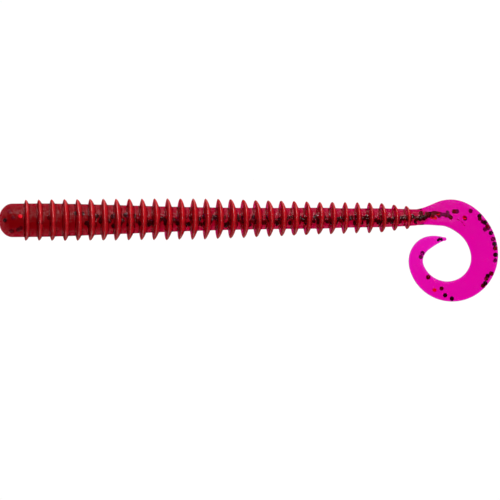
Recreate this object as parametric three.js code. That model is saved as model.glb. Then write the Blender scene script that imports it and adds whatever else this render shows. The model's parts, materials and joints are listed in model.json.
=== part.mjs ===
// A ribbed curl-tail soft plastic worm, in millimetres.
// +X runs from the head to the tail, +Z is up and the worm lies on Z = 0. The curl of the tail is flat on
// that surface and turns towards -Y. The body is a chain of sections on ball ends, each a core that carries
// its own ring ribs, and the tail is a chain of thin plates, each hinged across the ribbon.
import * as THREE from 'three';

// Body
const NOSE_X = -44.95;              // flat tip of the nose
const AXIS_Y = 5.72;              // the body's axis, beside the middle of the whole worm
const NOSE_LENGTH = 2.3;           // rounded part of the nose
const GATE_RADIUS = 0.9;           // flat spot at the tip of the nose
const RIB_COUNT = 31;
const RIB_PITCH = 2.28;
const FIRST_RIB = 4.86;            // from the tip of the nose to the first rib
const HEAD_RIBS = 4;               // ribs on the head section
const SECTION_RIBS = 3;            // ribs on every section behind it
const STEM_JOINT = 75;             // from the tip of the nose to the joint at the root of the tail

// [distance from the tip of the nose, radius]
const CORE_RADIUS = [
  [2.3, 2.97], [8.5, 2.95], [20, 2.61], [30, 2.25], [41, 1.98], [50, 1.89], [58, 1.86], [62, 1.73], [69, 1.68],
  [75, 1.45],
];
const RIB_RADIUS = [
  [4.8, 3.6], [14, 3.69], [26, 3.69], [39, 3.58], [48, 3.24], [58, 2.9], [69, 2.6], [71, 2.34], [73.3, 2.07],
];

// Cross-section of a rib, along the axis from its middle
const RIB_FRONT = -0.45;           // foot on the side that faces the head
const RIB_BACK = 0.65;             // foot on the side that faces the tail
const RIB_TIP = -0.12;             // middle of the rounded tip
const RIB_TIP_WIDTH = 0.3;
const THIN_RIBS = 5;               // ribs next to the head are thinner
const THIN_RIB_SHARE = 0.75;

// Tail: a straight root, then arcs that all turn the same way
const TAIL_HEADING = 8.8;          // degrees from +X towards +Y
const TAIL_STRAIGHT = 4.45;
const TAIL_ARCS = [                // [radius, degrees turned]
  [5.9, 32.8], [8.2, 57.5], [6.35, 169.5], [3.6, 83], [7.3, 26.5],
];
const TAIL_WIDTH = [               // [distance along the tail, width]
  [0, 2.86], [1.5, 3.15], [4.45, 4.4], [7.7, 5.5], [11, 5.35], [16, 5.05], [35, 2.65], [40, 2.2], [43.2, 0.9],
];
const TAIL_THICKNESS = [           // [distance along the tail, thickness]
  [0, 2.86], [0.8, 2.7], [4.7, 1], [8, 0.9], [30, 0.8], [43.2, 0.6],
];
const TAIL_EDGE = 0.9;             // width of the rounded edge of the ribbon
const TAIL_LANDING = 15;           // along the tail, where it has come down to the surface
const TAIL_PLATE_START = 4.9;      // along the tail, the first hinge
const TAIL_PLATES = 8;

// Clearances and fineness
const BALL_GAP = 0.3;              // between a ball end and the cup in front of it
const PLATE_GAP = 0.3;             // between two plates of the tail
const RIB_GAP = 0.05;              // between a rib's bore and the core
const RIB_LIFT = 0.06;             // lifts the axis, because straight sections cut across its curve
const TAIL_LIFT = 0.02;            // between the landed tail and the surface
const SIDES = 20;                  // facets round the body
const EDGE_POINTS = 6;             // points round each edge of the ribbon
const ARC_STEPS = 4;               // steps in the quarter arc of a ball, a cup or the nose
const RIBBON_STEP = 0.8;           // longest step along the tail

const RAD = Math.PI / 180;

const CORE_FINISH = { color: 0x7a0020, roughness: 0.3, metalness: 0 };
const RIB_FINISH = { color: 0xa51f24, roughness: 0.35, metalness: 0 };
const TAIL_FINISH = { color: 0xe20096, roughness: 0.25, metalness: 0 };

// The value of a table of [place, value] at a place, on straight lines between its rows.
function valueAt(table, place) {
  if (place <= table[0][0]) return table[0][1];
  for (let i = 1; i < table.length; i++) {
    const [a, low] = table[i - 1];
    const [b, high] = table[i];
    if (place <= b) return low + (high - low) * (place - a) / (b - a);
  }
  return table[table.length - 1][1];
}

const coreRadius = (s) => valueAt(CORE_RADIUS, s);
const ribRadius = (s) => valueAt(RIB_RADIUS, s);
const axisHeight = (s) => ribRadius(s) + RIB_LIFT;
const ribPlace = (index) => FIRST_RIB + RIB_PITCH * index;

function makeMesh(name, geometry, finish) {
  const mesh = new THREE.Mesh(geometry, new THREE.MeshStandardMaterial(finish));
  mesh.name = name;
  return mesh;
}

// A turned solid about the X axis from a profile of [x, radius].
function turned(profile) {
  const points = profile.map(([x, radius]) => new THREE.Vector2(radius, x));
  return new THREE.LatheGeometry(points, SIDES).rotateZ(-Math.PI / 2);
}

// A quarter arc of [x, radius] that goes from the axis, in front of the centre, out to the full radius.
function quarterArc(centre, length, radius, from = 0, to = 90) {
  const arc = [];
  for (let i = 0; i <= ARC_STEPS; i++) {
    const angle = (from + (to - from) * i / ARC_STEPS) * RAD;
    arc.push([centre - length * Math.cos(angle), radius * Math.sin(angle)]);
  }
  return arc;
}

// The hollow end of a section that ends at the joint `end`: from its rim in to the axis.
function cup(origin, end) {
  const radius = coreRadius(end) + BALL_GAP;
  let rim = end;
  for (let i = 0; i < 8; i++) rim = end - Math.sqrt(radius ** 2 - coreRadius(rim) ** 2);
  const rimAngle = Math.acos((end - rim) / radius) / RAD;
  return quarterArc(end - origin, radius, radius, 0, rimAngle).reverse();
}

// The outside of the core between two places, with a point at each rib and each row of the core's table.
function coreSide(origin, from, to) {
  const ribs = Array.from({ length: RIB_COUNT }, (_, i) => ribPlace(i));
  const places = [...ribs, ...CORE_RADIUS.map(([s]) => s)].filter((s) => s > from + 0.1 && s < to - 0.1);
  return places.sort((a, b) => a - b).map((s) => [s - origin, coreRadius(s)]);
}

function headCore(end) {
  const gateAngle = Math.asin(GATE_RADIUS / coreRadius(0)) / RAD;
  const nose = quarterArc(NOSE_LENGTH, NOSE_LENGTH, coreRadius(0), gateAngle, 90);
  const tip = nose[0][0];
  const rear = cup(0, end);
  const profile = [[tip, 0], ...nose, ...coreSide(0, NOSE_LENGTH, rear[0][0]), ...rear];
  return turned(profile).translate(-tip, 0, 0);
}

function sectionCore(start, end) {
  const ball = quarterArc(0, coreRadius(start), coreRadius(start));
  const rear = cup(start, end);
  return turned([...ball, ...coreSide(start, start, start + rear[0][0]), ...rear]);
}

function rib(index, origin) {
  const place = ribPlace(index);
  const share = index < THIN_RIBS ? THIN_RIB_SHARE : 1;
  const front = RIB_FRONT * share;
  const back = RIB_BACK * share;
  const top = ribRadius(place);
  const foot = (x) => [x, coreRadius(place + x) + RIB_GAP];
  const middle = (coreRadius(place) + top) / 2;
  const profile = [
    foot(front),
    [RIB_TIP - RIB_TIP_WIDTH / 2, top - 0.08],
    [RIB_TIP, top],
    [RIB_TIP + RIB_TIP_WIDTH / 2, top - 0.08],
    [(RIB_TIP + back) / 2 + 0.08, middle],
    foot(back),
    foot(front),
  ];
  return turned(profile).translate(place - origin, 0, 0);
}

// The tail's centreline in plan, from the stem joint: its place and heading at a distance along it.
function tailLine(distance) {
  let heading = TAIL_HEADING * RAD;
  let x = Math.cos(heading) * Math.min(distance, TAIL_STRAIGHT);
  let y = Math.sin(heading) * Math.min(distance, TAIL_STRAIGHT);
  let left = distance - TAIL_STRAIGHT;
  for (const [radius, degrees] of TAIL_ARCS) {
    if (left <= 0) break;
    const turn = Math.min(left / radius, degrees * RAD);
    x += radius * (Math.sin(heading) - Math.sin(heading - turn));
    y += radius * (Math.cos(heading - turn) - Math.cos(heading));
    heading -= turn;
    left -= radius * turn;
  }
  return { x, y, heading };
}

const tailEnd = TAIL_STRAIGHT + TAIL_ARCS.reduce((sum, [radius, degrees]) => sum + radius * degrees * RAD, 0);

// How far the tail's middle plane has come down at a distance along it.
function tailDrop(distance) {
  const share = Math.min(Math.max(distance / TAIL_LANDING, 0), 1);
  const landed = axisHeight(STEM_JOINT) - valueAt(TAIL_THICKNESS, distance) / 2 - TAIL_LIFT;
  return landed * share * share * (3 - 2 * share);
}

// A ring of points round the tail at a distance along it, narrowed to a share of its width.
function tailRing(distance, widthShare = 1, thicknessShare = 1) {
  const { x, y, heading } = tailLine(distance);
  const halfWidth = valueAt(TAIL_WIDTH, distance) / 2 * widthShare;
  const halfThickness = valueAt(TAIL_THICKNESS, distance) / 2 * thicknessShare;
  const edge = Math.min(halfWidth * 0.97, Math.max(TAIL_EDGE, halfThickness));
  const ring = [];
  for (const side of [1, -1]) {
    for (let i = 0; i < EDGE_POINTS; i++) {
      const angle = (i / (EDGE_POINTS - 1) - 0.5) * Math.PI * side;
      const across = side * (halfWidth - edge + edge * Math.cos(angle));
      const up = halfThickness * Math.sin(angle) - tailDrop(distance);
      ring.push(new THREE.Vector3(x - across * Math.sin(heading), y + across * Math.cos(heading), up));
    }
  }
  return ring;
}

// A closed solid through rings with the same number of points, with a flat fan over each end.
function loft(rings) {
  const count = rings[0].length;
  const points = rings.flat();
  const middle = (ring) => ring.reduce((sum, p) => sum.add(p), new THREE.Vector3()).divideScalar(count);
  const first = points.push(middle(rings[0])) - 1;
  const last = points.push(middle(rings[rings.length - 1])) - 1;
  const index = [];
  for (let r = 0; r < rings.length - 1; r++) {
    for (let i = 0; i < count; i++) {
      const a = r * count + i;
      const b = r * count + (i + 1) % count;
      index.push(a, b, a + count, b, b + count, a + count);
    }
  }
  const rear = (rings.length - 1) * count;
  for (let i = 0; i < count; i++) {
    const next = (i + 1) % count;
    index.push(first, next, i, last, rear + i, rear + next);
  }
  const geometry = new THREE.BufferGeometry().setFromPoints(points);
  geometry.setIndex(index);
  geometry.computeVertexNormals();
  return geometry;
}

function ringsBetween(from, to) {
  const steps = Math.ceil((to - from) / RIBBON_STEP);
  return Array.from({ length: steps + 1 }, (_, i) => tailRing(from + (to - from) * i / steps));
}

// The root of the tail: a ball end that flattens into the ribbon.
function tailRoot(end) {
  const ball = quarterArc(0, coreRadius(STEM_JOINT), 1, 10, 80);
  const rings = ball.map(([x, share]) => tailRing(0, share, share).map((p) => p.setX(p.x + x)));
  return loft([...rings, ...ringsBetween(0.3, end)]);
}

function tailPlate(start, end, isTip) {
  const rings = ringsBetween(start, end);
  if (isTip) {
    const round = valueAt(TAIL_WIDTH, end) / 2;
    for (const angle of [35, 60, 80]) {
      rings.push(tailRing(end + round * Math.sin(angle * RAD), Math.cos(angle * RAD)));
    }
  }
  return loft(rings);
}

const worm = new THREE.Group();
worm.name = 'worm';
// The joints along the body, by distance from the nose: half-way between two ribs, and at the stem.
const bodyJoints = [];
for (let first = HEAD_RIBS; first < RIB_COUNT; first += SECTION_RIBS) bodyJoints.push(ribPlace(first - 0.5));
bodyJoints.push(STEM_JOINT);
worm.position.set(NOSE_X, AXIS_Y, axisHeight(bodyJoints[0]));

let parent = worm;
let slope = 0;
let nextRib = 0;
let start = 0;
bodyJoints.forEach((end, section) => {
  const group = new THREE.Group();
  const newSlope = section === 0 ? 0 : Math.atan2(axisHeight(start) - axisHeight(end), end - start);
  group.position.x = section === 0 ? 0 : start - (section === 1 ? 0 : bodyJoints[section - 2]);
  group.rotation.y = newSlope - slope;
  group.name = section === 0 ? 'head' : `body_joint_${section}`;
  const name = section === 0 ? 'head_core' : `body_core_${section}`;
  group.add(makeMesh(name, section === 0 ? headCore(end) : sectionCore(start, end), CORE_FINISH));
  const ribs = section === 0 ? HEAD_RIBS : SECTION_RIBS;
  for (let i = 0; i < ribs; i++) {
    group.add(makeMesh(`rib_${String(nextRib + 1).padStart(2, '0')}`, rib(nextRib, start), RIB_FINISH));
    nextRib += 1;
  }
  parent.add(group);
  parent = group;
  slope = newSlope;
  start = end;
});

// The tail keeps level axes, whatever the slope of the last section of the body.
const tail = new THREE.Group();
tail.name = 'stem_joint';
tail.position.x = STEM_JOINT - bodyJoints[bodyJoints.length - 2];
tail.rotation.y = -slope;
parent.add(tail);

const plateLength = (tailEnd - TAIL_PLATE_START) / TAIL_PLATES;
tail.add(makeMesh('tail_root', tailRoot(TAIL_PLATE_START - PLATE_GAP / 2), TAIL_FINISH));
let hinge = tail;
let hingePoint = new THREE.Vector3();
for (let plate = 0; plate < TAIL_PLATES; plate++) {
  const from = TAIL_PLATE_START + plateLength * plate;
  const { x, y } = tailLine(from);
  const point = new THREE.Vector3(x, y, -tailDrop(from));
  const group = new THREE.Group();
  group.name = `tail_joint_${plate + 1}`;
  group.position.copy(point).sub(hingePoint);
  const isTip = plate === TAIL_PLATES - 1;
  const to = from + plateLength - (isTip ? 0 : PLATE_GAP / 2);
  const geometry = tailPlate(from + PLATE_GAP / 2, to, isTip).translate(-point.x, -point.y, -point.z);
  group.add(makeMesh(isTip ? 'tail_tip' : `tail_plate_${plate + 1}`, geometry, TAIL_FINISH));
  hinge.add(group);
  hinge = group;
  hingePoint = point;
}

export default worm;
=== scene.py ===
"""The looks of a ribbed curl-tail soft plastic worm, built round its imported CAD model. Lengths are in millimetres until
a mesh is made."""
import json
import math
import random

import bpy
import numpy as np
from mathutils import Matrix, Vector

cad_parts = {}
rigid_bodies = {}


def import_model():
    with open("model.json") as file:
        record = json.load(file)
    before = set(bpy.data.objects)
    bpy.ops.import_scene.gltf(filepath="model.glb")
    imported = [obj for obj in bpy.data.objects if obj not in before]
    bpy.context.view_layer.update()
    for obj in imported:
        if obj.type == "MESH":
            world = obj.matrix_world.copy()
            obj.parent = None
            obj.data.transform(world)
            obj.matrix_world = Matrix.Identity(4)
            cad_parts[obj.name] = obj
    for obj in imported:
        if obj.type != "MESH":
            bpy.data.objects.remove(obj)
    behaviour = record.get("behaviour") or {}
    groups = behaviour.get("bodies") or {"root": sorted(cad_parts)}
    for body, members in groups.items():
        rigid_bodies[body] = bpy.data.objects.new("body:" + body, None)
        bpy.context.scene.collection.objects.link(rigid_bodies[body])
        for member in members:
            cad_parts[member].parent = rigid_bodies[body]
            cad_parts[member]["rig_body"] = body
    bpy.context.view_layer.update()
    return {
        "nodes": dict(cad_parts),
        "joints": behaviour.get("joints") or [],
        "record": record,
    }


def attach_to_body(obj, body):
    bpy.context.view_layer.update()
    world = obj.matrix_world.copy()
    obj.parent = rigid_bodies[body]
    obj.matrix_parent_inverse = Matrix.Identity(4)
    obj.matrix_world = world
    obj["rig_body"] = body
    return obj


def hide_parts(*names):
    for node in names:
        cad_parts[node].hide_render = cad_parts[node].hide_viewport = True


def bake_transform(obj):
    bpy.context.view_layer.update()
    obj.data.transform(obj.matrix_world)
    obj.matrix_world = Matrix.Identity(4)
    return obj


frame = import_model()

MM = 0.001

# --- Sizes of the worm, along its axis from the flat tip of the nose ---------------------------------------------------
NOSE_LENGTH = 2.3
GATE_RADIUS = 0.9
RIB_COUNT = 31
RIB_PITCH = 2.28
FIRST_RIB = 4.86
CORE_RADIUS = ((2.3, 2.97), (8.5, 2.95), (20, 2.61), (30, 2.25), (41, 1.98), (50, 1.89), (58, 1.86), (62, 1.73),
               (69, 1.68), (75, 1.45))
RIB_RADIUS = ((4.8, 3.6), (14, 3.69), (26, 3.69), (39, 3.58), (48, 3.24), (58, 2.9), (69, 2.6), (71, 2.34),
              (73.3, 2.07))
# the foot of a rib's steep side and of its sloping side, both from its crest
RIB_STEEP = ((5, 0.24), (16, 0.29), (40, 0.27), (60, 0.24), (73.3, 0.2))
RIB_SLOPE = ((5, 0.52), (16, 0.74), (30, 0.84), (44, 0.86), (60, 0.66), (73.3, 0.52))
# how much further back a crest is on its left than on its right
RIB_TILT = ((4.9, 0.04), (11.7, -0.11), (18.5, 0.04), (32, 0.22), (43.6, 0), (46.5, -0.15), (52.7, 0.05), (61.9, 0.28),
            (67, 0.08), (73.3, -0.11))
CREST_SHIFT = -0.2

# --- The tail, along its centreline from the stem's joint ---------------------------------------------------------------
TAIL_HEADING = 8.8
TAIL_STRAIGHT = 4.45
TAIL_ARCS = ((5.9, 32.8), (8.2, 57.5), (6.35, 169.5), (3.6, 83), (7.3, 26.5))
TAIL_WIDTH = ((0, 2.86), (1.5, 3.15), (4.45, 4.45), (6.5, 5.15), (9, 5.45), (12, 5.3), (16, 5.05), (35, 2.65),
              (40, 2.35), (41.5, 1.75), (43.2, 0.7))
TAIL_THICKNESS = ((0, 1.1), (4.7, 0.95), (8, 0.9), (30, 0.8), (43.2, 0.6))
TAIL_EDGE = 0.55
TAIL_LANDING = 15.0
TAIL_PLATE_START = 4.9
STEM_RADIUS = 1.45
STEM_VANISHES = 3.6


def smooth_table(table, places):
    """Values of a table of (place, value), with eased slopes between its rows, so that no row shows as a kink."""
    xs = np.array([row[0] for row in table], float)
    ys = np.array([row[1] for row in table], float)
    steps = np.diff(ys) / np.diff(xs)
    slopes = np.concatenate([[steps[0]], (steps[1:] + steps[:-1]) / 2, [steps[-1]]])
    flat = np.concatenate([[False], steps[1:] * steps[:-1] <= 0, [False]])
    slopes[flat] = 0
    places = np.clip(np.asarray(places, float), xs[0], xs[-1])
    at = np.clip(np.searchsorted(xs, places, side="right") - 1, 0, len(xs) - 2)
    width = xs[at + 1] - xs[at]
    t = (places - xs[at]) / width
    return ((2 * t**3 - 3 * t**2 + 1) * ys[at] + (t**3 - 2 * t**2 + t) * width * slopes[at]
            + (3 * t**2 - 2 * t**3) * ys[at + 1] + (t**3 - t**2) * width * slopes[at + 1])


# --- Places from the frame ----------------------------------------------------------------------------------------------
joints = frame["joints"]
body_joints = [j for j in joints if not j["name"].startswith("tail_flap")]
nose = np.array(frame["record"]["mounts"][0]["pos_m"]) / MM
joint_points = [np.array(j["pos_m"]) / MM for j in body_joints]
axis_points = np.array([nose, *joint_points])
axis_places = np.concatenate([[0], np.cumsum(np.linalg.norm(np.diff(axis_points, axis=0), axis=1))])
stem_place = axis_places[-1]
tail_end = TAIL_STRAIGHT + sum(radius * math.radians(turn) for radius, turn in TAIL_ARCS)


def tail_line(distance):
    """The tail's centreline in plan from the stem's joint: x, y and heading."""
    heading = math.radians(TAIL_HEADING)
    first = min(distance, TAIL_STRAIGHT)
    x, y = math.cos(heading) * first, math.sin(heading) * first
    left = distance - TAIL_STRAIGHT
    for radius, degrees in TAIL_ARCS:
        if left <= 0:
            break
        turn = min(left / radius, math.radians(degrees))
        x += radius * (math.sin(heading) - math.sin(heading - turn))
        y += radius * (math.cos(heading - turn) - math.cos(heading))
        heading -= turn
        left -= radius * turn
    straight = max(left, 0)
    return x + math.cos(heading) * straight, y + math.sin(heading) * straight, heading


# --- The path through the worm, from nose to tip ------------------------------------------------------------------------
PATH_STEP = 0.05
JOINT_EASE = 0.9


def build_path():
    """Dense centre points from the nose to the end of the tail, eased where the tail's heading leaves the body's."""
    body = np.linspace(0, stem_place, int(stem_place / PATH_STEP))[:-1]
    tail = np.arange(0, tail_end + 1.0, PATH_STEP)
    heights = smooth_table(list(zip(axis_places, axis_points[:, 2])), body)
    along = np.interp(body, axis_places, axis_points[:, 0])
    across = np.interp(body, axis_places, axis_points[:, 1])
    points = [np.stack([along, across, heights], 1)]
    stem = axis_points[-1]
    share = np.clip(tail / TAIL_LANDING, 0, 1)
    landed = stem[2] - smooth_table(TAIL_THICKNESS, tail) / 2 - 0.02
    drop = landed * share**2 * (3 - 2 * share)
    plan = np.array([tail_line(d)[:2] for d in tail])
    points.append(np.stack([stem[0] + plan[:, 0], stem[1] + plan[:, 1], stem[2] - drop], 1))
    path = np.concatenate(points)
    places = np.concatenate([body, stem_place + tail])
    reach = int(3 * JOINT_EASE / PATH_STEP)
    weights = np.exp(-0.5 * (np.arange(-reach, reach + 1) * PATH_STEP / JOINT_EASE) ** 2)
    weights /= weights.sum()
    padded = np.pad(path, ((reach, reach), (0, 0)), mode="edge")
    eased = np.stack([np.convolve(padded[:, i], weights, mode="valid") for i in range(3)], 1)
    near = np.clip(1.6 - np.abs(places - stem_place) / 2.5, 0, 1)[:, None]
    return places, path * (1 - near) + eased * near


path_places, path_points = build_path()
path_tangents = np.gradient(path_points, axis=0)
path_tangents /= np.linalg.norm(path_tangents, axis=1)[:, None]


def frame_at(place):
    """Centre, tangent, side and up of the path at a place."""
    centre = np.array([np.interp(place, path_places, path_points[:, i]) for i in range(3)])
    tangent = np.array([np.interp(place, path_places, path_tangents[:, i]) for i in range(3)])
    tangent /= np.linalg.norm(tangent)
    side = np.cross((0, 0, 1), tangent)
    side /= np.linalg.norm(side)
    return centre, tangent, side, np.cross(tangent, side)


# --- Skin -----------------------------------------------------------------------------------------------------------------
SEAM_ANGLE = math.radians(97)
SEAM_HEIGHT = 0.035
SEAM_HALF_WIDTH = math.radians(1.6)


def ring_angles():
    """Angles round the body, with a few more close to the moulding seam."""
    even = [2 * math.pi * i / 72 for i in range(72)]
    seam = [SEAM_ANGLE + d * SEAM_HALF_WIDTH for d in (-1, -0.4, 0.4, 1)]
    even = [a for a in even if abs(a - SEAM_ANGLE) > 1.6 * SEAM_HALF_WIDTH]
    return np.array(sorted(even + seam))


ANGLES = ring_angles()
rib_places = FIRST_RIB + RIB_PITCH * np.arange(RIB_COUNT)
crests = rib_places + CREST_SHIFT
steep = smooth_table(RIB_STEEP, rib_places)
slope = smooth_table(RIB_SLOPE, rib_places)
tilt = smooth_table(RIB_TILT, rib_places)
rng = random.Random(7)
wobble = [[rng.uniform(0, 2 * math.pi) for _ in range(4)] for _ in range(RIB_COUNT)]


def core_radius(place):
    """The core without its ribs: an ellipse at the nose, then the taper."""
    taper = float(smooth_table(CORE_RADIUS, place))
    if place >= NOSE_LENGTH:
        return taper
    gate = NOSE_LENGTH * (1 - math.cos(math.asin(GATE_RADIUS / taper)))
    back = (NOSE_LENGTH - (gate + place * (NOSE_LENGTH - gate) / NOSE_LENGTH)) / NOSE_LENGTH
    return taper * math.sqrt(max(1 - back**2, 0))


def rib_height(place):
    """How far the nearest rib stands out at a place, as (height, its share of the crest's, its index)."""
    index = int(np.argmin(np.abs(crests + 0.3 - place)))
    away = place - crests[index]
    reach = steep[index] if away < 0 else slope[index]
    share = max(0.0, 1 - (abs(away) / reach) ** (2.2 if away < 0 else 1.75)) ** 1.2
    height = float(smooth_table(RIB_RADIUS, rib_places[index])) - core_radius(crests[index])
    return height * share, share, index


def body_ring(place):
    centre, tangent, side, up = frame_at(place)
    height, share, index = rib_height(place)
    a, b, c, d = wobble[index]
    radius = core_radius(place) + height * (1 + 0.018 * np.sin(2 * ANGLES + a) + 0.012 * np.sin(5 * ANGLES + b))
    seam = np.clip(1 - np.abs(ANGLES - SEAM_ANGLE) / SEAM_HALF_WIDTH, 0, 1)
    radius = radius + SEAM_HEIGHT * seam
    lean = share * (tilt[index] / 2 * np.cos(ANGLES) + 0.03 * np.sin(2 * ANGLES + c) + 0.02 * np.sin(3 * ANGLES + d))
    return (centre + np.outer(radius * np.cos(ANGLES), side) + np.outer(radius * np.sin(ANGLES), up)
            + np.outer(lean, tangent))


def tail_half_thickness(distance, across, half_width):
    """The ribbon with its rounded edges, joined smoothly with the stem that fades out along it."""
    blade = float(smooth_table(TAIL_THICKNESS, distance)) / 2
    edge = min(TAIL_EDGE, half_width * 0.9)
    past = np.clip((np.abs(across) - (half_width - edge)) / edge, 0, 1)
    ribbon = blade * np.sqrt(np.maximum(1 - past**2, 0))
    stem = STEM_RADIUS * max(1 - (distance / STEM_VANISHES) ** 1.6, 0)
    hump = np.sqrt(np.maximum(stem**2 - across**2, 0))
    return (ribbon**6 + hump**6) ** (1 / 6)


def tail_ring(distance, width_share=1.0, thickness_share=1.0):
    centre, _, side, up = frame_at(stem_place + distance)
    half_width = float(smooth_table(TAIL_WIDTH, distance)) / 2
    across = half_width * np.cos(ANGLES)
    height = tail_half_thickness(distance, across, half_width) * np.sign(np.sin(ANGLES)) * thickness_share
    height[np.abs(np.sin(ANGLES)) < 1e-6] = 0
    return centre + np.outer(across * width_share, side) + np.outer(height, up)


def rib_stations(index):
    """Places where the skin needs a ring at a rib: close together on its steep side and its crest."""
    front = [crests[index] - steep[index] * share for share in (0.9999, 0.96, 0.88, 0.76, 0.6, 0.4, 0.2)]
    back = [crests[index] + slope[index] * share
            for share in (0, 0.08, 0.18, 0.3, 0.45, 0.6, 0.75, 0.88, 0.97, 1.0)]
    return front + back


def body_stations():
    places = list(NOSE_LENGTH * (1 - np.cos(np.linspace(0, math.pi / 2, 14)))) + list(np.arange(2.6, 4.5, 0.3))
    for index in range(RIB_COUNT):
        places += rib_stations(index)
        start = crests[index] + slope[index]
        end = crests[index + 1] - steep[index + 1] if index + 1 < RIB_COUNT else stem_place
        places += list(np.linspace(start, end, 6)[1:-1])
    return sorted(set(round(p, 4) for p in places if p < stem_place))


TAIL_TURN = 0.3


def tail_stations():
    return list(np.arange(0, tail_end, TAIL_TURN))


def mid_rib_seam(index):
    """The foot of a rib's steep side, a crease where one piece can meet the next unseen."""
    return round(crests[index] - steep[index] * 0.9999, 4)


plate_pitch = (tail_end - TAIL_PLATE_START) / 8
bodies = ["head"] + [f"section_{i}" for i in range(1, 10)] + ["tail_root"]
bodies += [f"tail_{i}" for i in range(1, 8)] + ["tail_tip"]
seams = [mid_rib_seam(1)] + [mid_rib_seam(3 * i + 2) for i in range(1, 10)] + [stem_place + 2.4]
seams += [stem_place + TAIL_PLATE_START + plate_pitch * (i + 0.5) for i in range(7)]


def all_rings():
    """Every ring of the skin, as (place, points)."""
    rings = [(p, body_ring(p)) for p in body_stations()]
    extra = [s - stem_place for s in seams if s > stem_place]
    for d in sorted({round(d, 4) for d in tail_stations() + extra}):
        rings.append((stem_place + d, tail_ring(d)))
    round_end = float(smooth_table(TAIL_WIDTH, tail_end)) / 2
    for angle in (25, 45, 62, 76, 86):
        turn = math.radians(angle)
        rings.append((stem_place + tail_end + round_end * math.sin(turn) * 0.999,
                      tail_ring(tail_end + round_end * math.sin(turn), math.cos(turn), math.cos(turn) ** 0.5)))
    return rings


def mesh_object(name, points, faces, materials, smooth=True):
    mesh = bpy.data.meshes.new(name)
    mesh.from_pydata([tuple(p) for p in np.asarray(points) * MM], [], faces)
    for material in materials:
        mesh.materials.append(material)
    mesh.polygons.foreach_set("use_smooth", [smooth] * len(mesh.polygons))
    mesh.update()
    obj = bpy.data.objects.new(name, mesh)
    bpy.context.scene.collection.objects.link(obj)
    return obj


CAP_GAP = 0.0015


def skin_piece(name, rings, cap_first, cap_last, materials):
    """One stretch of the skin through its rings. An end is a fan, flat where the stretch meets its neighbour."""
    count = len(ANGLES)
    points = [p for _, ring in rings for p in ring]
    faces = []
    for r in range(len(rings) - 1):
        for i in range(count):
            j = (i + 1) % count
            faces.append((r * count + i, r * count + j, (r + 1) * count + j, (r + 1) * count + i))
    if cap_first:
        points.append(rings[0][1].mean(0))
        faces += [(len(points) - 1, (i + 1) % count, i) for i in range(count)]
    if cap_last:
        base = (len(rings) - 1) * count
        points.append(rings[-1][1].mean(0))
        faces += [(len(points) - 1, base + i, base + (i + 1) % count) for i in range(count)]
    obj = mesh_object(name, points, faces, materials)
    base = (len(rings) - 1) * count
    last = {(base + i, base + (i + 1) % count) for i in range(count)}
    rim = {frozenset(pair) for pair in last | {(i, (i + 1) % count) for i in range(count)}}
    sharp = obj.data.attributes.new("sharp_edge", "BOOLEAN", "EDGE")
    sharp.data.foreach_set("value", [frozenset(e.vertices) in rim for e in obj.data.edges])
    return obj


# --- Materials ------------------------------------------------------------------------------------------------------------
def node_material(name):
    material = bpy.data.materials.new(name)
    material.use_nodes = True
    tree = material.node_tree
    tree.nodes.clear()
    return material, tree


def add(tree, kind, **values):
    """A node, with inputs and settings by name."""
    node = tree.nodes.new(kind)
    for key, value in values.items():
        if key in node.inputs:
            node.inputs[key].default_value = value
        else:
            setattr(node, key, value)
    return node


def noise(tree, scale, detail=2.0, roughness=0.5):
    place = tree.nodes.new("ShaderNodeTexCoord")
    node = add(tree, "ShaderNodeTexNoise", Scale=scale, Detail=detail, Roughness=roughness)
    tree.links.new(place.outputs["Object"], node.inputs["Vector"])
    return node.outputs["Fac"]


def ramp(tree, value, low, high, to_low=0.0, to_high=1.0):
    node = add(tree, "ShaderNodeMapRange")
    node.inputs["From Min"].default_value = low
    node.inputs["From Max"].default_value = high
    node.inputs["To Min"].default_value = to_low
    node.inputs["To Max"].default_value = to_high
    tree.links.new(value, node.inputs["Value"])
    return node.outputs["Result"]


def absorbing(per_mm):
    """Colour and density of a Volume Absorption that takes off this much light in a millimetre."""
    densest = max(per_mm)
    return [1 - value / densest for value in per_mm] + [1.0], densest / MM


def mixed(tree, share, first, second):
    """A Mix Shader: share is a number or a socket."""
    node = tree.nodes.new("ShaderNodeMixShader")
    if isinstance(share, float):
        node.inputs["Fac"].default_value = share
    else:
        tree.links.new(share, node.inputs["Fac"])
    tree.links.new(first, node.inputs[1])
    tree.links.new(second, node.inputs[2])
    return node.outputs["Shader"]


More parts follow.
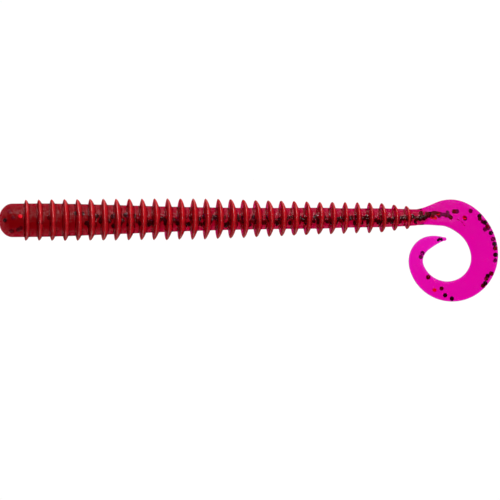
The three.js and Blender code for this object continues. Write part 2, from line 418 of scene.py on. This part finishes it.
def plastic(name, per_mm, haze_colour):
    """Clear dyed plastic: it absorbs inside, lets lamps through, has a little red haze near its surface, and shines a
    little. The mesh carries the shares of haze and gloss."""
    material, tree = node_material(name)
    ripple = add(tree, "ShaderNodeBump", Strength=0.3, Distance=0.00005)
    tree.links.new(noise(tree, 2600, 3), ripple.inputs["Height"])
    inner = add(tree, "ShaderNodeBsdfRefraction", Color=(0.97, 0.93, 0.955, 1), IOR=1.22)
    tree.links.new(ramp(tree, noise(tree, 900), 0.3, 0.7, 0.08, 0.2), inner.inputs["Roughness"])
    tree.links.new(ripple.outputs["Normal"], inner.inputs["Normal"])
    tint = tree.nodes.new("ShaderNodeMix")
    tint.data_type = "RGBA"
    tint.inputs[6].default_value = [c * 0.75 for c in haze_colour] + [1]
    tint.inputs[7].default_value = [min(c * 1.25, 1) for c in haze_colour] + [1]
    tree.links.new(noise(tree, 1800, 2), tint.inputs["Factor"])
    cloud = tree.nodes.new("ShaderNodeBsdfDiffuse")
    tree.links.new(tint.outputs[2], cloud.inputs["Color"])
    haze = add(tree, "ShaderNodeAttribute", attribute_name="haze").outputs["Fac"]
    surface = mixed(tree, haze, inner.outputs["BSDF"], cloud.outputs["BSDF"])
    grain = add(tree, "ShaderNodeBump", Strength=1.0, Distance=0.0001)
    tree.links.new(noise(tree, 3200, 2), grain.inputs["Height"])
    shine = add(tree, "ShaderNodeBsdfGlossy", Color=(1, 1, 1, 1))
    tree.links.new(ramp(tree, noise(tree, 1500), 0.3, 0.7, 0.12, 0.24), shine.inputs["Roughness"])
    tree.links.new(grain.outputs["Normal"], shine.inputs["Normal"])
    gloss = add(tree, "ShaderNodeMath", operation="MULTIPLY")
    tree.links.new(add(tree, "ShaderNodeAttribute", attribute_name="gloss").outputs["Fac"], gloss.inputs[0])
    tree.links.new(ramp(tree, noise(tree, 2400, 3), 0.38, 0.62, 0.25, 1.9), gloss.inputs[1])
    surface = mixed(tree, gloss.outputs[0], surface, shine.outputs["BSDF"])
    clear = tree.nodes.new("ShaderNodeBsdfTransparent").outputs["BSDF"]
    surface = mixed(tree, tree.nodes.new("ShaderNodeLightPath").outputs["Is Shadow Ray"], surface, clear)
    joined = add(tree, "ShaderNodeAttribute", attribute_name="joined")
    surface = mixed(tree, joined.outputs["Fac"], surface, clear)
    out = tree.nodes.new("ShaderNodeOutputMaterial")
    tree.links.new(surface, out.inputs["Surface"])
    colour, density = absorbing(per_mm)
    inside = add(tree, "ShaderNodeVolumeAbsorption", Color=colour, Density=density)
    tree.links.new(inside.outputs["Volume"], out.inputs["Volume"])
    return material


def flake_material(name, colour, metallic, specular=0.03):
    material, tree = node_material(name)
    face = tree.nodes.new("ShaderNodeBsdfPrincipled")
    face.inputs["Metallic"].default_value = metallic
    face.inputs["Roughness"].default_value = 0.45
    face.inputs["Specular IOR Level"].default_value = specular
    tint = tree.nodes.new("ShaderNodeMix")
    tint.data_type = "RGBA"
    tint.inputs[6].default_value = [c * 0.6 for c in colour] + [1]
    tint.inputs[7].default_value = [min(c * 1.5, 1) for c in colour] + [1]
    tree.links.new(noise(tree, 600), tint.inputs["Factor"])
    tree.links.new(tint.outputs[2], face.inputs["Base Color"])
    out = tree.nodes.new("ShaderNodeOutputMaterial")
    tree.links.new(face.outputs["BSDF"], out.inputs["Surface"])
    return material


PLASTIC_PER_MM = (0.31, 8.0, 1.12)
worm_plastic = plastic("worm plastic", PLASTIC_PER_MM, (0.66, 0.010, 0.018))
FLAKES = {
    "black": flake_material("black flake", (0.004, 0.002, 0.005), 0.0),
    "purple": flake_material("purple flake", (0.14, 0.006, 0.10), 0.1),
    "dark red": flake_material("dark red flake", (0.10, 0.004, 0.008), 0.1),
    "red": flake_material("red flake", (0.5, 0.015, 0.015), 0.7),
}


# --- Pieces of the skin -----------------------------------------------------------------------------------------------------
def face_attribute(obj, name, values):
    attribute = obj.data.attributes.new(name, "FLOAT", "FACE")
    attribute.data.foreach_set("value", np.asarray(values, np.float32))


def point_attribute(obj, name, rings):
    """Values round each ring of a piece, and 0 in the middle of its ends."""
    values = np.concatenate([*rings, [0, 0]])
    attribute = obj.data.attributes.new(name, "FLOAT", "POINT")
    attribute.data.foreach_set("value", values.astype(np.float32))


TAIL_RIM = np.clip((np.abs(np.cos(ANGLES)) - 0.94) / 0.045, 0, 1)


def haze_and_gloss(place):
    """Shares of haze and of gloss round a ring: more on a rib and its crest, less on the tail inside its rim."""
    _, share, index = rib_height(min(place, stem_place))
    cloudy = share ** (0.35 if place < crests[index] else 0.9)
    tail = min(max((place - stem_place + 2) / 5, 0), 1)
    core_haze = 0.05 - 0.03 * tail
    core_gloss = 0.011 - 0.007 * tail
    crest = min(max((share - 0.93) / 0.07, 0), 1)
    rim = TAIL_RIM * (0.6 - 0.35 * min(max((place - stem_place - 6) / 8, 0), 1)) if place > stem_place else 0
    haze = core_haze + (0.68 - core_haze) * np.maximum(cloudy, rim)
    return haze * np.ones(len(ANGLES)), (core_gloss + (0.075 - core_gloss) * crest) * np.ones(len(ANGLES))


def build_skin():
    """The skin as pieces that meet in the middle of a body."""
    rings = all_rings()
    ends = [rings[0][0] - 1] + seams + [rings[-1][0] + 1]
    tip_middle = stem_place + TAIL_PLATE_START + plate_pitch * 7.5
    pieces = []
    for i, body in enumerate(bodies):
        own = [r for r in rings if ends[i] - 1e-3 <= r[0] <= ends[i + 1] + 1e-3]
        first, last = i == 0, i == len(bodies) - 1
        if not first:
            own[0] = (own[0][0], own[0][1] + frame_at(own[0][0])[1] * CAP_GAP / 2)
        if not last:
            own[-1] = (own[-1][0], own[-1][1] - frame_at(own[-1][0])[1] * CAP_GAP / 2)
        obj = skin_piece(f"{body}_skin", own, True, True, [worm_plastic])
        count = len(ANGLES)
        joined = np.zeros(len(obj.data.polygons))
        joined[-count:] = not last
        joined[-2 * count:-count] = not first
        face_attribute(obj, "joined", joined)
        shares = [haze_and_gloss(place) for place, _ in own]
        point_attribute(obj, "haze", [haze for haze, _ in shares])
        point_attribute(obj, "gloss", [gloss for _, gloss in shares])
        start = frame_at(max(ends[i], 0))[0] * MM
        end = frame_at(min(ends[i + 1], tip_middle))[0] * MM
        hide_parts(*[n for n, o in frame["nodes"].items() if o["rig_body"] == body])
        pieces.append({"body": body, "obj": obj, "from": ends[i], "to": ends[i + 1], "start": start, "end": end})
    return pieces


def attach(obj, piece, index):
    """obj moves as that piece of the skin does."""
    if index == 0:
        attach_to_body(obj, piece["body"])
    else:
        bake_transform(obj)


# --- Flakes -----------------------------------------------------------------------------------------------------------------
FLAKE_RADIUS = 0.45
FLAKE_THICKNESS = 0.05
SLIVER_RADIUS = 0.27
TOWARDS_LIGHT = math.tan(math.radians(28))
# from place, to place, how many, lowest and highest offset to the left, kinds. Places are from the nose
BODY_FLAKES = (
    (0.85, 1.0, 1, 0.0, 0.2, ("black",)),
    (1.6, 1.9, 1, 1.5, 1.7, ("dark red",)),
    (2.1, 2.4, 1, 0.4, 0.6, ("dark red",)),
    (3.4, 3.6, 1, 0.5, 0.7, ("red",)),
    (1.9, 2.2, 1, -1.9, -1.7, ("dark red",)),
    (3.0, 3.7, 2, -1.7, -1.2, ("dark red",)),
    (6.9, 7.1, 1, -0.6, -0.4, ("black",)),
    (8.0, 10.0, 2, -0.6, 0.6, ("dark red",)),
    (12.8, 15.2, 3, 0.7, 1.1, ("black", "dark red")),
    (15.0, 25.0, 24, -1.2, 0.7, ("black", "dark red", "black")),
    (25.0, 45.0, 60, -1.0, 0.35, ("black", "black", "dark red")),
    (45.0, 75.0, 84, -0.75, 0.2, ("black", "black", "dark red")),
)
# the same for the tail, with places from the stem's joint
TAIL_FLAKES = (
    (0.3, 2.6, 7, -0.7, 0.5, ("black", "dark red", "black")),
    (2.6, 4.4, 9, -0.6, 0.5, ("red", "dark red", "dark red")),
    (4.4, 6.6, 6, -1.1, 0.3, ("purple", "purple", "dark red")),
    (6.6, 7.4, 2, 0.3, 0.9, ("dark red", "purple")),
    (7.6, 10.2, 3, -1.0, -0.5, ("red sliver",)),
    (8.8, 9.2, 2, -0.2, 0.4, ("red", "black")),
    (9.1, 9.3, 1, 1.8, 1.9, ("purple",)),
    (10.4, 13.2, 6, 1.9, 2.4, ("black", "dark red", "purple")),
    (12.4, 13.0, 1, 1.4, 1.6, ("purple",)),
    (13.4, 17.9, 6, 1.9, 2.3, ("black", "purple", "black", "dark red")),
    (19.2, 21.9, 5, 1.3, 2.0, ("dark red", "black")),
    (26.6, 26.8, 1, 1.2, 1.4, ("black",)),
    (27.5, 30.1, 3, -0.4, 1.4, ("black", "dark red", "red")),
    (32.0, 32.4, 1, -0.9, -0.8, ("dark red",)),
    (36.7, 38.3, 2, -0.95, -0.85, ("purple",)),
    (42.1, 43.0, 3, -0.15, 0.15, ("black sliver",)),
)


def flake(centre, normal, turn, kind):
    """Corners and faces of one hexagonal flake."""
    normal = normal / np.linalg.norm(normal)
    side = np.cross(normal, (0.3, 0.9, 0.1))
    side /= np.linalg.norm(side)
    other = np.cross(normal, side)
    radius = FLAKE_RADIUS * rng.uniform(0.92, 1.05)
    if kind.endswith(" sliver"):
        kind, radius = kind.removesuffix(" sliver"), SLIVER_RADIUS
    corners = []
    for level in (-0.5, 0.5):
        for k in range(6):
            angle = turn + k * math.pi / 3
            corners.append(centre + radius * (math.cos(angle) * side + math.sin(angle) * other)
                           + level * FLAKE_THICKNESS * normal)
    faces = [(5, 4, 3, 2, 1, 0), (6, 7, 8, 9, 10, 11)]
    faces += [(k, (k + 1) % 6, 6 + (k + 1) % 6, 6 + k) for k in range(6)]
    return corners, faces, kind


def body_flakes():
    found = []
    for start, end, count, low, high, kinds in BODY_FLAKES:
        for k in range(count):
            place = start + (end - start) * (k + rng.uniform(0.2, 0.8)) / count
            centre, tangent, side, up = frame_at(place)
            room = core_radius(place) - (0.2 if place < 8 else 0.6)
            across = min(max(rng.uniform(low, high), -room), room)
            top = math.sqrt(max(room**2 - across**2, 0.01))
            height = rng.uniform(-0.2, 0.75) * top if place > 8 else 0.95 * top
            tilt = (rng.gauss(0, 0.55), rng.gauss(0, 0.55))
            normal = up + tilt[0] * side + tilt[1] * tangent
            if place < 8:
                normal = across * side + height * up
            if kinds[0] == "red":
                normal = up + TOWARDS_LIGHT * side
            found.append((place, flake(centre + across * side + height * up, normal, rng.uniform(0, 1),
                                       kinds[k % len(kinds)])))
    return found


def tail_flakes():
    found = []
    for start, end, count, low, high, kinds in TAIL_FLAKES:
        for k in range(count):
            distance = start + (end - start) * (k + rng.uniform(0.3, 0.7)) / count
            centre, tangent, side, up = frame_at(stem_place + distance)
            room = float(smooth_table(TAIL_WIDTH, distance)) / 2 - FLAKE_RADIUS - 0.05
            across = min(max(rng.uniform(low, high), -room), room)
            kind = kinds[k % len(kinds)]
            lean = 0.15
            normal = up + rng.uniform(-lean, lean) * side + rng.uniform(-lean, lean) * tangent
            if kind == "red":
                normal = up + TOWARDS_LIGHT * np.array((0, 1, 0))
            if kind == "red sliver":
                normal = side + 0.3 * up
            height = rng.uniform(-0.1, 0.1)
            found.append((stem_place + distance,
                          flake(centre + across * side + height * up, normal, rng.uniform(0, 1), kind)))
    return found


def build_flakes(pieces):
    """The flakes of each piece of the skin as one mesh, moving as that piece does."""
    kinds = list(FLAKES)
    everything = body_flakes() + tail_flakes()
    for index, piece in enumerate(pieces):
        own = [f for place, f in everything if piece["from"] <= place < piece["to"]]
        if not own:
            continue
        points, faces, slots = [], [], []
        for corners, sides, kind in own:
            faces += [tuple(v + len(points) for v in face) for face in sides]
            slots += [kinds.index(kind)] * len(sides)
            points += corners
        obj = mesh_object(f"{piece['body']}_flakes", points, faces, list(FLAKES.values()), smooth=False)
        obj.data.polygons.foreach_set("material_index", slots)
        attach(obj, piece, index)


skins = build_skin()
build_flakes(skins)
for number, part in enumerate(skins):
    attach(part["obj"], part, number)


# --- Floor, light and camera -------------------------------------------------------------------------------------------------
FLOOR_CLEARNESS = 0.93


def build_floor():
    """A pale frosted floor that glows like a light table. What bends down past it still shows."""
    mesh = bpy.data.meshes.new("floor")
    size = 3.0
    mesh.from_pydata([(-size, -size, 0), (size, -size, 0), (size, size, 0), (-size, size, 0)], [], [(0, 1, 2, 3)])
    floor = bpy.data.objects.new("floor", mesh)
    bpy.context.scene.collection.objects.link(floor)
    material, tree = node_material("floor")
    face = tree.nodes.new("ShaderNodeBsdfPrincipled")
    face.inputs["Base Color"].default_value = (0.2, 0.2, 0.2, 1)
    face.inputs["Roughness"].default_value = 0.9
    face.inputs["Specular IOR Level"].default_value = 0.1
    face.inputs["Emission Color"].default_value = (1, 1, 1, 1)
    face.inputs["Emission Strength"].default_value = 0.88
    clear = tree.nodes.new("ShaderNodeBsdfTransparent").outputs["BSDF"]
    out = tree.nodes.new("ShaderNodeOutputMaterial")
    tree.links.new(mixed(tree, FLOOR_CLEARNESS, face.outputs["BSDF"], clear), out.inputs["Surface"])
    mesh.materials.append(material)


def build_world():
    world = bpy.data.worlds.new("studio")
    bpy.context.scene.world = world
    world.use_nodes = True
    tree = world.node_tree
    tree.nodes.clear()
    place = tree.nodes.new("ShaderNodeTexCoord")
    split = tree.nodes.new("ShaderNodeSeparateXYZ")
    tree.links.new(place.outputs["Generated"], split.inputs["Vector"])
    height = ramp(tree, split.outputs["Z"], 0.05, 0.7, 0.8, 0.04)
    front = ramp(tree, split.outputs["Y"], -0.7, 0.5, 0.2, 1.0)
    level = add(tree, "ShaderNodeMath", operation="MULTIPLY")
    tree.links.new(height, level.inputs[0])
    tree.links.new(front, level.inputs[1])
    horizon = ramp(tree, split.outputs["Z"], 0.08, 0.24, 1.02, 0.0)
    brighter = add(tree, "ShaderNodeMath", operation="MAXIMUM")
    tree.links.new(level.outputs[0], brighter.inputs[0])
    tree.links.new(horizon, brighter.inputs[1])
    level = brighter.outputs[0]
    ground = add(tree, "ShaderNodeBackground", Color=(1, 1, 1, 1))
    tree.links.new(level, ground.inputs["Strength"])
    out = tree.nodes.new("ShaderNodeOutputWorld")
    tree.links.new(ground.outputs["Background"], out.inputs["Surface"])


def softbox(name, azimuth, elevation, distance, width, height, watts):
    light = bpy.data.lights.new(name, "AREA")
    light.shape = "RECTANGLE"
    light.size, light.size_y = width, height
    light.energy = watts
    obj = bpy.data.objects.new(name, light)
    bpy.context.scene.collection.objects.link(obj)
    a, e = math.radians(azimuth), math.radians(elevation)
    way = Vector((math.cos(a) * math.cos(e), math.sin(a) * math.cos(e), math.sin(e)))
    obj.location = way * distance
    obj.rotation_euler = way.to_track_quat("Z", "Y").to_euler()
    obj.visible_camera = False
    return obj


CAMERA_TILT = math.radians(7)
CAMERA_ROLL = math.radians(-0.47)
CAMERA_AIM = Vector((-0.00032, 0.00014, 0.003))
FRAME_WIDTH = 0.0891


def build_camera():
    camera = bpy.data.cameras.new("camera")
    camera.sensor_width = 36
    distance = 0.7
    camera.lens = 36 * distance / FRAME_WIDTH
    camera.clip_start = 0.01
    camera.clip_end = 10
    obj = bpy.data.objects.new("camera", camera)
    bpy.context.scene.collection.objects.link(obj)
    back = Vector((-math.sin(CAMERA_TILT), 0, math.cos(CAMERA_TILT)))
    up = Vector((0, 1, 0))
    right = up.cross(back).normalized()
    turn = Matrix.Rotation(CAMERA_ROLL, 3, back)
    axes = Matrix((right, up, back)).transposed()
    axes = turn @ axes
    obj.matrix_world = Matrix.Translation(CAMERA_AIM + back * distance) @ axes.to_4x4()
    bpy.context.scene.camera = obj


build_floor()
build_world()
softbox("side light", 90, 30, 0.6, 0.7, 0.4, 2.2)
softbox("crest light", 35, 50, 0.6, 0.5, 0.02, 2.4)
build_camera()
scene = bpy.context.scene
scene.view_settings.view_transform = "Standard"
scene.cycles.transparent_max_bounces = 32
scene.cycles.max_bounces = 16
scene.cycles.transmission_bounces = 16
